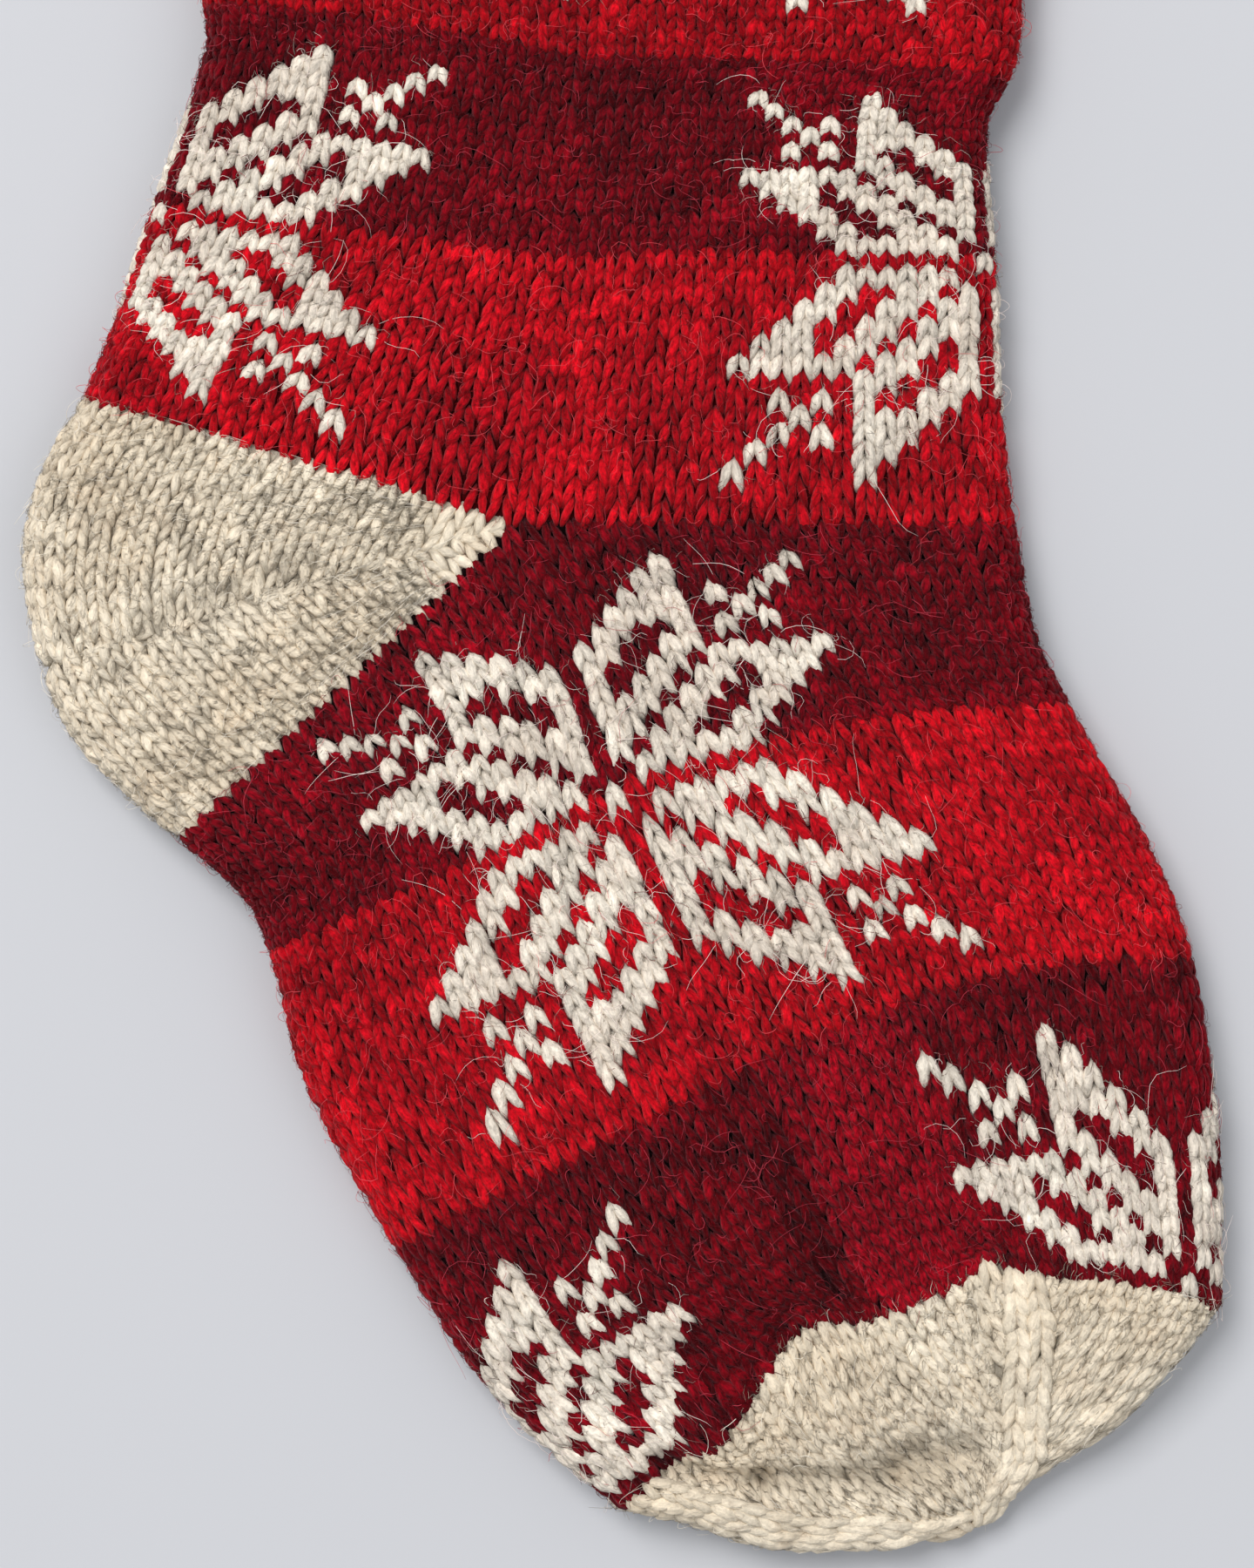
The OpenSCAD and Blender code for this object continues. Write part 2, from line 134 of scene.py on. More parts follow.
def blended(stations, t):
    """Smooth blend of [(parameter, vector)] stations at every parameter in t."""
    at = np.array([s[0] for s in stations], float)
    value = np.array([s[1] for s in stations], float)
    before = np.maximum(np.arange(len(at)) - 1, 0)
    after = np.minimum(np.arange(len(at)) + 1, len(at) - 1)
    slope = (value[after] - value[before]) / (at[after] - at[before])[:, None]
    i = np.clip(np.searchsorted(at, t, side="right") - 1, 0, len(at) - 2)
    span = (at[i + 1] - at[i])[:, None]
    s = ((t - at[i]) / (at[i + 1] - at[i]))[:, None]
    s2, s3 = s * s, s * s * s
    return (value[i] * (2 * s3 - 3 * s2 + 1) + slope[i] * span * (s3 - 2 * s2 + s)
            + value[i + 1] * (3 * s2 - 2 * s3) + slope[i + 1] * span * (s3 - s2))


def length(v):
    return np.linalg.norm(v, axis=-1)


def back_len(c):
    """Length of each course on one face, from the middle of its back edge to the heel line."""
    return length(c[:, MID] - c[:, BACK]) + EDGE_EXTRA * c[:, THICK] / 2


def half_len(c):
    """Length of each course on one face, from edge to edge."""
    return back_len(c) + length(c[:, FRONT] - c[:, MID]) + EDGE_EXTRA * c[:, THICK] / 2


def skin(c, q, side, grow):
    """Points on the flattened sections c at lengths q from their back edge, grow outside the surface."""
    r = c[:, THICK] / 2
    arc = math.pi * r / 2
    total = half_len(c)
    lb, lf = length(c[:, MID] - c[:, BACK]), length(c[:, FRONT] - c[:, MID])
    angle = np.minimum(np.minimum(q, total - q) / r, math.pi / 2)
    d = np.where(q < arc, r - (r + grow) * np.cos(angle), r + q - arc)
    d = np.where(q > total - arc, lb + lf - r + (r + grow) * np.cos(angle), d)
    in_back = d < lb
    s = np.where(in_back, d / lb, (d - lb) / lf)
    start = np.where(in_back[:, None], c[:, BACK], c[:, MID])
    end = np.where(in_back[:, None], c[:, MID], c[:, FRONT])
    xy = start + (end - start) * s[:, None]
    bend = np.where(in_back, c[:, BACK_BEND], c[:, FRONT_BEND])
    z = RELIEF + r + side * (r + grow) * np.sin(angle)
    return np.column_stack([xy[:, 0], xy[:, 1] + 4 * s * (1 - s) * bend, z])


# ---------------------------------------------------------------- where stitches lie
# Knitted rows of each band of colour, and the courses at which the bands end.
LEG_KNIT = [0, 10, 24, 41, 44, 56, 68, 71]
LEG_AT = [0, 10, 24, 39.6, 42, 53, 66.8, LEG_ROWS]
FOOT_KNIT = [71, 85, 97, 100, 116]
FOOT_AT = [LEG_ROWS, 83.8, 97.2, 101.2, TOE_ROW]
LEAN = 0.24              # how much the columns above the ankle lean to the heel
LEAN_FROM = 53           # course at which the lean begins, and that from which it is full
LEAN_FULL = LEG_ROWS - 4


def course_row(row, knit, at):
    """The course at which each knitted row lies; rows past either end go on one to a course."""
    inside = np.clip(row, knit[0], knit[-1])
    return np.interp(inside, knit, at) + (row - inside)


def in_round(c, col, grow, power=1.0):
    """Points at stitches col of the courses c, counted all the way round from the heel-side edge.
    A power above 1 crowds those of the back part to the edge."""
    turn = np.mod(col, COLS)
    side = np.where(turn <= HALF, 1.0, -1.0)
    k = np.where(side > 0, turn, COLS - turn)
    back, half = back_len(c), half_len(c)
    in_back = back * np.clip(k / HEEL_COLS, 0, 1) ** power
    rest = (half - back) * (k - HEEL_COLS) / (HALF - HEEL_COLS)
    return skin(c, np.where(k <= HEEL_COLS, in_back, back + rest), side, grow)


def round_place(stations, knit, at, lean=0.0):
    """Where row and col of a band that is knitted in the round lie."""
    def place(row, col, grow):
        course_at = course_row(row, knit, at)
        power = 1 + lean * np.clip((course_at - LEAN_FROM) / (LEAN_FULL - LEAN_FROM), 0, 1)
        return in_round(blended(stations, course_at), col, grow, power)
    return place


on_leg = round_place(LEG, LEG_KNIT, LEG_AT, LEAN)
on_foot = round_place(FOOT, FOOT_KNIT, FOOT_AT)

COL_PITCH = back_len(ANKLE[None])[0] / HEEL_COLS
ROW_PITCH = 3.7                        # height of a row of the heel
CLOSING = 2.2                          # furthest that a stitch of the heel runs past its crease
MITRE = np.array([-0.957, -0.29])      # direction of the crease from the heel point
HEEL_FAN_ROWS = 28


def heel_edge_at(share):
    """The heel's outer edge, from the ankle line at 0 to the foot line at 1."""
    ends = len(HEEL_EDGE) - 1
    return blended([(k / ends, p) for k, p in enumerate(HEEL_EDGE)], share)


def heel_fan(share, col, grow):
    """The heel as a fan of courses about the heel point, from the ankle line round to the foot line."""
    zero = np.zeros(len(share))
    c = np.column_stack([heel_edge_at(share), zero, zero, zero + INSTEP_W, zero, zero, zero, zero + FLAT_H])
    return skin(c, back_len(c) * np.abs(col) / HEEL_COLS, np.where(col < 0, -1.0, 1.0), grow)


def heel_fan_rows(row, col, grow):
    return heel_fan(np.clip(row / HEEL_FAN_ROWS, 0, 1), col, grow)


def heel_place(flank):
    """Where row and col lie in a half of the heel: rows from its flank, columns from the back edge
    and negative on the underside."""
    along = flank / length(flank)
    inward = np.array([-along[1], along[0]])
    if inward @ MITRE < 0:
        inward = -inward
    edge = heel_edge_at(np.linspace(0, 1, 200))
    depth = edge @ inward
    order = np.argsort(depth)

    def place(row, col, grow):
        h = row * ROW_PITCH
        back = np.column_stack([np.interp(h, depth[order], edge[order, k]) for k in (0, 1)])
        back = back + np.minimum(h, 0)[:, None] * inward
        mid = MITRE * (h / (MITRE @ inward))[:, None]
        front = mid + (INSTEP_W, 0)
        zero = np.zeros(len(h))
        c = np.column_stack([back, mid, front, zero, zero, zero + FLAT_H])
        q = np.minimum(np.abs(col) * COL_PITCH, back_len(c) + CLOSING)
        return skin(c, q, np.where(col < 0, -1.0, 1.0), grow)

    def columns(row):
        """How many columns a row has on one face."""
        h = row * ROW_PITCH
        back = np.array([np.interp(h, depth[order], edge[order, k]) for k in (0, 1)])
        mid = MITRE * h / (MITRE @ inward)
        return (length(back - mid) + EDGE_EXTRA * FLAT_H / 2) / COL_PITCH

    return place, columns


# The toe narrows along three lines, each with a chain of stitches on either side. Those of the
# panels between the lines are counted from the middles of the panels, and the rest from the lines.
TOE_KNIT = 13
TOE_COLS = 75                # its stitches are wider than those of the foot
TOE_DRIFT = 2.4              # stitches by which the lines lie in from where the toe is folded
CHAIN_WIDTH = 1.22           # of the stitches beside a line
TOE_LINES = [0.0, 27.2, 58.0]
PANELS = [end - start for start, end in zip(TOE_LINES, TOE_LINES[1:] + [COLS])]
ANCHORS = np.array([line + wide / 2 for line, wide in zip(TOE_LINES, PANELS)] + TOE_LINES)
ANCHOR_STEP = 1000           # stitch numbers of the toe are this times the anchor, plus the offset
on_toe_round = round_place(TOE, [0, TOE_KNIT], [TOE_ROW, TOE_END])


def toe_share(row):
    """Width of the toe at a row, as a share of its widest."""
    c = blended(TOE, TOE_ROW + np.atleast_1d(row) * (TOE_END - TOE_ROW) / TOE_KNIT)
    return half_len(c) / half_len(TOE_LINE[None])


def on_toe(row, col, grow):
    anchor = np.round(col / ANCHOR_STEP).astype(int)
    offset = (col - anchor * ANCHOR_STEP) * np.where(anchor > len(PANELS), CHAIN_WIDTH, 1.0)
    share = toe_share(row)
    across = offset / np.maximum(share, 0.05) + TOE_DRIFT / np.maximum(share, 0.4)
    return on_toe_round(row, ANCHORS[anchor - 1] + across * COLS / TOE_COLS, grow)


# ---------------------------------------------------------------- the star
# A quarter of the star, as knitters chart it: up from the centre row, out from the centre stitch.
STAR_QUARTER = [
    "#............",
    "..######.....",
    ".#.##..##....",
    ".##.##..##...",
    ".###.##..##..",
    ".#.##.##.###.",
    ".#..##.######",
    ".##..##......",
    "..##..#.#.#..",
    "...####..#...",
    "....###.#.#..",
    ".....##....#.",
    "......#.....#",
]
STAR_REACH = len(STAR_QUARTER)
STARS = [   # piece, centre stitch, centre row, on the foot
    ("star_leg_front", 25, 24, False), ("star_leg_back", 69, 24, False),
    ("star_ankle_heel_side", 1, 56, False), ("star_ankle_instep_side", 42, 56, False),
    ("star_foot_front", 20, 85, True), ("star_foot_sole", 64, 85, True),
    ("star_toe_sole_side", 87, 115, True), ("star_toe_instep_side", 40, 115, True),
]


def star_of(row, col, foot):
    """Name of the star that a stitch belongs to, or None."""
    for name, mid_col, mid_row, on_the_foot in STARS:
        across = abs((col - mid_col + HALF) % COLS - HALF)
        up = abs(row - mid_row)
        near = up < STAR_REACH and across < STAR_REACH
        if foot == on_the_foot and near and STAR_QUARTER[up][across] == "#":
            return name
    return None


# ---------------------------------------------------------------- strands of yarn
UV_APART = 37            # between one strand's texture and the next, so that no two look alike


def tubes(centres, normals, wide, high, sides):
    """Closed elliptical tubes round rows of centres (n, m, 3): points, quads, caps and corner UVs."""
    n, m = centres.shape[0:2]
    tangent = np.gradient(centres, axis=1)
    tangent /= length(tangent)[..., None] + 1e-9
    across = np.cross(tangent, normals)
    across /= length(across)[..., None] + 1e-9
    up = np.cross(across, tangent)
    turn = 2 * math.pi * np.arange(sides) / sides
    ring = (across[:, :, None] * (np.cos(turn)[:, None] * wide[:, :, None, None])
            + up[:, :, None] * (np.sin(turn)[:, None] * high[:, :, None, None]))
    points = (centres[:, :, None] + ring).reshape(-1, 3)
    j, k, i = np.meshgrid(np.arange(n), np.arange(m - 1), np.arange(sides), indexing="ij")

    def vertex(ring_number, around):
        return (j * m + ring_number) * sides + around % sides
    quads = np.stack([vertex(k + 1, i), vertex(k + 1, i + 1), vertex(k, i + 1), vertex(k, i)], -1)
    step = length(np.diff(centres, axis=1))
    run = np.concatenate([np.zeros((n, 1)), np.cumsum(step, 1)], 1) + UV_APART * np.arange(n)[:, None]
    u0, u1 = run[j, k], run[j, k + 1]
    uv = np.stack([np.stack([u1, u1, u0, u0], -1),
                   np.stack([i, i + 1, i + 1, i], -1) / sides], -1)
    first = np.arange(n)[:, None] * m * sides
    around = np.arange(sides)
    caps = np.concatenate([first + around, first + (m - 1) * sides + around[::-1]])
    cap_uv = np.zeros((len(caps), sides, 2))
    return points, quads.reshape(-1, 4), caps, uv.reshape(-1, 4, 2), cap_uv


RINGS = 6                # sections along a strand
SIDES = 6                # round a strand of a stitch
THICK_SIDES = 8          # round the thicker strands that stand out
STRAND = np.linspace(0, 1, RINGS)
SWELL = np.array([0.42, 0.85, 1.0, 0.98, 0.78, 0.40])           # how thick a strand is along its length
ARCH = np.array([-1.60, -0.80, -0.32, -0.36, -0.95, -1.95])     # how far out its middle lies
OPEN_TO_AIR = [0.2, 0.7, 1.0, 1.0, 0.6, 0.15]                   # how much light reaches it


def stitches(place, rows, cols, plump=1.0, proud=0.0, tone=0.0):
    """Two strands for each stitch. A stitch points up the work and opens down it."""
    n = len(rows)
    side = np.tile([-1.0, 1.0], n)
    row, col = np.repeat(rows, 2).astype(float), np.repeat(cols, 2).astype(float)
    sign = np.where(col < 0, -1.0, 1.0)
    stitch_jitter = np.repeat(rng.normal(0, 1, (n, 3)), 2, axis=0)
    strand_jitter = rng.normal(0, 1, (2 * n, 5))
    spread = 0.42 + 0.03 * strand_jitter[:, 0]
    start = 0.10 + 0.03 * strand_jitter[:, 1]
    reach = 1.72 + 0.12 * strand_jitter[:, 2]
    bow = STRAND * STRAND * (3 - 2 * STRAND)
    u = side[:, None] * (start[:, None] + (spread - start)[:, None] * bow)
    u = u + 0.035 * stitch_jitter[:, :1]
    v = -0.18 + (reach + 0.18)[:, None] * STRAND + 0.07 * stitch_jitter[:, 1:2]
    thick = plump * (1 + 0.07 * strand_jitter[:, 3] + 0.05 * stitch_jitter[:, 2])
    grow = ARCH + proud + 0.12 * strand_jitter[:, 4:5]
    across = (col + sign * 0.5)[:, None] + sign[:, None] * u
    centres, normals = on_fabric(place, row[:, None] + v, across, grow)
    uneven = 1 + 0.09 * rng.normal(0, 1, (2 * n, RINGS))
    wide = 1.10 * thick[:, None] * SWELL * uneven
    high = 1.05 * thick[:, None] * SWELL * uneven
    shade = 0.5 + 0.14 * strand_jitter[:, 3] + 0.12 * stitch_jitter[:, 0] + np.repeat(tone + np.zeros(n), 2)
    shade = np.repeat(np.clip(shade, 0.05, 1.3), RINGS * SIDES)
    depth = np.tile(np.repeat(OPEN_TO_AIR, SIDES), 2 * n)
    return tubes(centres, normals, wide, high, SIDES), shade, depth


def on_fabric(place, row, col, grow):
    """Points of a fabric and the normals there, for arrays of any one shape."""
    shape = np.broadcast_shapes(row.shape, col.shape, grow.shape)
    row, col, grow = (np.broadcast_to(a, shape).ravel() for a in (row, col, grow))
    low = place(row, col, grow)
    normal = place(row, col, grow + 0.5) - low
    normal /= length(normal)[:, None] + 1e-9
    return low.reshape(*shape, 3), normal.reshape(*shape, 3)


CREASES = [   # from, to, half width and rise of each fold in the upper face
    ((62, -122), (73, -185), 4.5, -2.6), ((73, -124), (84, -180), 7.0, 1.5),
    ((100, -122), (108, -166), 5.0, -1.8), ((-46, -11), (-83, -23), 4.0, -3.4),
    ((-30, 3), (-62, -6), 8.0, 1.8), ((34, -214), (57, -219), 3.0, -4.6),
    ((57, -219), (88, -220), 3.0, -6.0),
    ((90, -217), (104, -214), 5.5, -9.0), ((108, -181), (116, -206), 3.2, -3.0),
    ((122, -186), (131, -203), 3.2, -2.0), ((36, -222), (96, -229), 4.0, 1.6),
    ((70, 12), (112, 6), 5.0, -1.3), ((-60, 96), (-66, 60), 9.0, 1.2), ((62, 52), (100, 38), 6.0, -1.0),
    ((-38, -84), (-30, -130), 7.0, -1.0), ((118, -62), (128, -120), 9.0, 1.0),
]
DEEPEST = 7.0            # a fold this deep gets the darkest painted shade
PULLS = [     # where the upper face is drawn aside in its own plane, the shift, and how far round
    ((67, -190), (-1.5, 6.5), 11.0), ((47, -206), (0.5, -5.0), 9.0), ((108, -173), (0.0, 5.0), 6.0),
]


def swell(points):
    """Soft bumps, folds and pulls of the upper face; the underside stays flat on what it lies on.
    Gives the moved points and how deep in a fold each one lies, from 0 to 1, which sets the painted shade
    in the folds."""
    x, y, z = points.T
    lift = (0.9 * np.sin(x / 23 + 0.6) * np.sin(y / 31 + 1.1) + 0.5 * np.sin(x / 11 + y / 17)
            + 0.4 * np.sin(x / 7.3 - y / 12.1))
    fold = np.zeros(len(points))
    for start, end, half_width, rise in CREASES:
        run = np.subtract(end, start)
        near = np.clip(((points[:, 0:2] - start) @ run) / (run @ run), 0, 1)
        away = length(points[:, 0:2] - start - near[:, None] * run)
        weight = np.exp(-(away / half_width) ** 2)
        lift += rise * weight
        fold += weight * max(-rise, 0) / DEEPEST
    share = np.clip((z - RELIEF) / FLAT_H, 0, 1.1)
    shift = np.zeros((len(points), 2))
    for centre, move, reach in PULLS:
        weight = np.exp(-(length(points[:, 0:2] - centre) / reach) ** 2) * share
        shift += weight[:, None] * move
    moved = np.column_stack([x + shift[:, 0], y + shift[:, 1], np.maximum(z + lift * share, 0.02)])
    return moved, np.clip(fold, 0, 1) * share


PAINTED_FOLD_SHADE = 0.75        # painted shade: how much darker the yarn is painted at the bottom of the deepest fold


class Piece:
    """Mesh under construction: vertices, polygons by corner count, corner UVs and vertex shades."""

    def __init__(self, name):
        self.name = name
        self.points = []
        self.faces = []
        self.uvs = []
        self.shade = []
        self.depth = []
        self.total = 0

    def add(self, points, faces, uvs, shade, depth):
        self.points.append(points)
        self.faces += [f + self.total for f in faces]
        self.uvs += uvs
        self.shade.append(np.broadcast_to(shade, len(points)))
        self.depth.append(np.broadcast_to(depth, len(points)))
        self.total += len(points)

    def add_tubes(self, made, shade, depth):
        points, quads, caps, uv, cap_uv = made
        self.add(points, [quads, caps], [uv, cap_uv], shade, depth)

    def finish(self, material, slot, body, *nodes):
        points, fold = swell(np.concatenate(self.points))
        points = points * MM + ORIGIN
        # Painted shade: the yarn is darkened in the folds of the upper face, the more the deeper they are.
        shade = np.concatenate(self.shade) - PAINTED_FOLD_SHADE * fold
        corners = np.concatenate([f.ravel() for f in self.faces])
        sizes = np.concatenate([np.full(len(f), f.shape[1]) for f in self.faces])
        mesh = bpy.data.meshes.new(self.name)
        mesh.vertices.add(len(points))
        mesh.vertices.foreach_set("co", points.ravel())
        mesh.loops.add(len(corners))
        mesh.loops.foreach_set("vertex_index", corners)
        mesh.polygons.add(len(sizes))
        mesh.polygons.foreach_set("loop_start", np.concatenate([[0], np.cumsum(sizes)[:-1]]))
        mesh.polygons.foreach_set("use_smooth", np.ones(len(sizes), bool))
        layer = mesh.uv_layers.new(name="yarn")
        layer.data.foreach_set("uv", np.concatenate([u.reshape(-1, 2) for u in self.uvs]).ravel())
        # depth: how much light reaches each point, for painted shade between and under the strands; shade:
        # the yarn's random tone, with painted shade in the folds and on the backing
        for label, values in (("shade", shade), ("depth", np.concatenate(self.depth))):
            attribute = mesh.attributes.new(label, "FLOAT", "POINT")
            attribute.data.foreach_set("value", values.astype(np.float32))
        mesh.update()
        mesh.materials.append(material)
        made = bpy.data.objects.new(self.name, mesh)
        bpy.context.scene.collection.objects.link(made)
        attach(made, body)
        if nodes:
            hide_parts(*nodes)
        return made


BACKING_UNDER = 1.15     # of the backing's upper sheet, under the surface
# Painted shade: the backing under the strands is given a darker tone, as it lies in their shade.
BACKING_PAINTED_SHADE = 0.35
NO_LIGHT = 0.0           # depth of what lies under the strands


def lining(piece, place, rows, cols, wrap=True):
    """The backing that the strands lie on: a closed shell from under them to the inner face."""
    row, col = np.meshgrid(rows, cols, indexing="ij")
    n, m = row.shape
    sheets = [on_fabric(place, row, col, np.full(row.shape, g))[0].reshape(-1, 3)
              for g in (-BACKING_UNDER, -WALL)]
    k, i = np.meshgrid(np.arange(n - 1), np.arange(m if wrap else m - 1), indexing="ij")

    def at(sheet, a, b):
        return sheet * n * m + a * m + b % m
    top = np.stack([at(0, k + 1, i), at(0, k + 1, i + 1), at(0, k, i + 1), at(0, k, i)], -1).reshape(-1, 4)
    low = np.stack([at(1, k, i + 1), at(1, k + 1, i + 1), at(1, k + 1, i), at(1, k, i)], -1).reshape(-1, 4)
    i = np.arange(m if wrap else m - 1)
    rims = [np.stack([at(1, 0, i + 1), at(1, 0, i), at(0, 0, i), at(0, 0, i + 1)], -1),
            np.stack([at(1, n - 1, i), at(1, n - 1, i + 1), at(0, n - 1, i + 1), at(0, n - 1, i)], -1)]
    if not wrap:
        k = np.arange(n - 1)
        rims += [np.stack([at(1, k, 0), at(1, k + 1, 0), at(0, k + 1, 0), at(0, k, 0)], -1),
                 np.stack([at(1, k + 1, m - 1), at(1, k, m - 1), at(0, k, m - 1), at(0, k + 1, m - 1)], -1)]
    faces = np.concatenate([top, low, *rims])
    flat_uv = np.stack([row.ravel() * 3.4, col.ravel()], -1)
    uv = np.concatenate([flat_uv, flat_uv])[faces]
    # painted shade: the backing takes a dark tone and no light
    piece.add(np.concatenate(sheets), [faces], [uv], BACKING_PAINTED_SHADE, NO_LIGHT)


# ---------------------------------------------------------------- wool
MIX_A, MIX_B = 6, 7      # a Mix node's two colour inputs
MIX_OUT = 2              # and its colour output


def node(tree, kind, **settings):
    made = tree.nodes.new(kind)
    for key, value in settings.items():
        setattr(made, key, value)
    return made


def wool(name, plain, deep, sheen_tint, contrast, fleck=0.0):
    """Yarn dyed in two close colours: blotches, streaks along the strand, flecks and a soft sheen."""
    material = bpy.data.materials.new(name)
    material.use_nodes = True
    tree = material.node_tree
    link = tree.links.new
    shader = tree.nodes["Principled BSDF"]
    place = node(tree, "ShaderNodeTexCoord")

    def noise(vector, scale, detail=2.0, rough=0.5):
        made = node(tree, "ShaderNodeTexNoise")
        made.inputs["Scale"].default_value = scale
        made.inputs["Detail"].default_value = detail
        made.inputs["Roughness"].default_value = rough
        link(vector, made.inputs["Vector"])
        return made.outputs["Fac"]

    def ramp(value, low, high, to_low, to_high, clamp=True):
        made = node(tree, "ShaderNodeMapRange", clamp=clamp)
        for key, number in (("From Min", low), ("From Max", high), ("To Min", to_low), ("To Max", to_high)):
            made.inputs[key].default_value = number
        link(value, made.inputs["Value"])
        return made.outputs["Result"]

    def mixed(factor, a, b, blend="MIX"):
        made = node(tree, "ShaderNodeMix", data_type="RGBA", blend_type=blend)
        if isinstance(factor, float):
            made.inputs["Factor"].default_value = factor
        else:
            link(factor, made.inputs["Factor"])
        for key, value in ((MIX_A, a), (MIX_B, b)):
            if isinstance(value, tuple):
                made.inputs[key].default_value = (*value, 1)
            else:
                link(value, made.inputs[key])
        return made.outputs[MIX_OUT]

    def times(a, b):
        made = node(tree, "ShaderNodeMath", operation="MULTIPLY")
        link(a, made.inputs[0])
        link(b, made.inputs[1])
        return made.outputs[0]

    stretch = node(tree, "ShaderNodeMapping")
    stretch.inputs["Scale"].default_value = (0.35, 5.0, 1.0)
    stretch.inputs["Rotation"].default_value = (0, 0, 0.12)
    link(place.outputs["UV"], stretch.inputs["Vector"])
    streak = noise(stretch.outputs["Vector"], 1.6, 4.0, 0.65)
    blotch = noise(place.outputs["Object"], 38.0, 3.0, 0.6)
    shade = node(tree, "ShaderNodeAttribute", attribute_name="shade").outputs["Fac"]
    depth = node(tree, "ShaderNodeAttribute", attribute_name="depth").outputs["Fac"]
    base = mixed(ramp(blotch, 0.38, 0.62, 0.0, 1.0), plain, deep)
    if fleck:
        spots = noise(place.outputs["Object"], 420.0, 2.0, 0.6)
        base = mixed(ramp(spots, 0.62, 0.74, 0.0, fleck), base, (0.20, 0.13, 0.09))
        warm = noise(place.outputs["Object"], 150.0, 2.0, 0.5)
        base = mixed(ramp(warm, 0.55, 0.75, 0.0, fleck * 0.5), base, (0.52, 0.36, 0.22))
    # Brightness from streaks along the strand and the yarn's random tone, with painted shade from the shade
    # attribute in folds and on the backing.
    light = times(ramp(streak, 0.3, 0.7, 1 - 0.62 * contrast, 1 + 0.62 * contrast),
                  ramp(shade, 0.1, 0.9, 1 - 0.38 * contrast, 1 + 0.38 * contrast, clamp=False))
    # Painted shade: the yarn is darkened where the depth attribute says little light reaches it.
    light = times(light, ramp(depth, 0.0, 1.0, 1 - 0.80 * contrast, 1.10))
    tone = node(tree, "ShaderNodeVectorMath", operation="SCALE")
    link(base, tone.inputs[0])
    link(light, tone.inputs["Scale"])
    link(tone.outputs[0], shader.inputs["Base Color"])
    bump = node(tree, "ShaderNodeBump")
    bump.inputs["Strength"].default_value = 1.0
    bump.inputs["Distance"].default_value = 0.0008
    link(streak, bump.inputs["Height"])
    link(bump.outputs["Normal"], shader.inputs["Normal"])
    shader.inputs["Roughness"].default_value = 0.88
    shader.inputs["Specular IOR Level"].default_value = 0.05
    shader.inputs["Sheen Weight"].default_value = 0.16
    shader.inputs["Sheen Roughness"].default_value = 0.45
    shader.inputs["Sheen Tint"].default_value = (*sheen_tint, 1)
    return material


# The material and the slot of each yarn.
WOOL = {
    "cream": (wool("cream_wool", (0.70, 0.62, 0.495), (0.62, 0.53, 0.405), (1.0, 0.95, 0.86),
                   contrast=0.38, fleck=0.35), "wool_cream"),
    "star": (wool("star_wool", (0.70, 0.64, 0.55), (0.60, 0.53, 0.45), (1.0, 0.95, 0.90),
                  contrast=0.5, fleck=0.12), "wool_star"),
    "red": (wool("red_wool", (0.47, 0.003, 0.009), (0.31, 0.002, 0.007), (1.0, 0.36, 0.40),
                 contrast=1.1), "wool_red"),
    "dark": (wool("dark_red_wool", (0.160, 0.001, 0.005), (0.096, 0.001, 0.004), (1.0, 0.36, 0.42),
                  contrast=1.4), "wool_dark_red"),
    "loop": (wool("loop_wool", (0.46, 0.004, 0.010), (0.34, 0.002, 0.008), (1.0, 0.10, 0.12),
                  contrast=1.0), "wool_loop"),
}

# ---------------------------------------------------------------- bands of the leg and foot
BANDS = [   # piece, wool, place, first and last knitted row, on the foot
    ("leg_red_upper", "red", on_leg, 0, 10, False),
    ("leg_dark_upper", "dark", on_leg, 10, 24, False),
    ("leg_red_middle", "red", on_leg, 24, 41, False),
    ("leg_dark_lower", "dark", on_leg, 41, 56, False),
    ("leg_red_ankle", "red", on_leg, 56, 71, False),
    ("foot_dark_instep", "dark", on_foot, 71, 85, True),
    ("foot_red", "red", on_foot, 85, 100, True),
    ("foot_dark_toe", "dark", on_foot, 100, 116, True),
]
LINING_COLS = np.linspace(0, COLS, 133)[:-1]
HEEL_FLANKS = [   # where each half of the heel starts from, its rows, and whether it is knitted up or down
    (ANKLE[BACK], 16, 1),
    (HEEL_END[BACK], 14, -1),
]
FEWEST = 3               # columns on a face of the shortest row of the heel


def knit_heel():
    piece = Piece("heel_turn")
    for flank, row_count, way in HEEL_FLANKS:
        place, columns = heel_place(np.array(flank))
        cells = []
        for row in range(row_count):
            count = int(columns(row + 0.5) + 0.6)
            cells += [(row, col) for col in range(-count, count) if count >= FEWEST]
        rows, cols = np.array(cells).T

        def from_flank(row, col, grow):
            return place(way * row, col, grow)
        made, shade, depth = stitches(from_flank, rows if way > 0 else -(rows + 1), cols, plump=1.08)
        piece.add_tubes(made, shade, depth)
    # The backing's columns are closest at the edge, and stop just short of the heel point.
    edge = np.linspace(0, 1, 24) ** 1.4 * (HEEL_COLS - 0.4)
    lining(piece, heel_fan, np.linspace(0, 1, 41), np.concatenate([-edge[:0:-1], edge]), wrap=False)
    piece.finish(*WOOL["cream"], "stocking", "heel_turn")


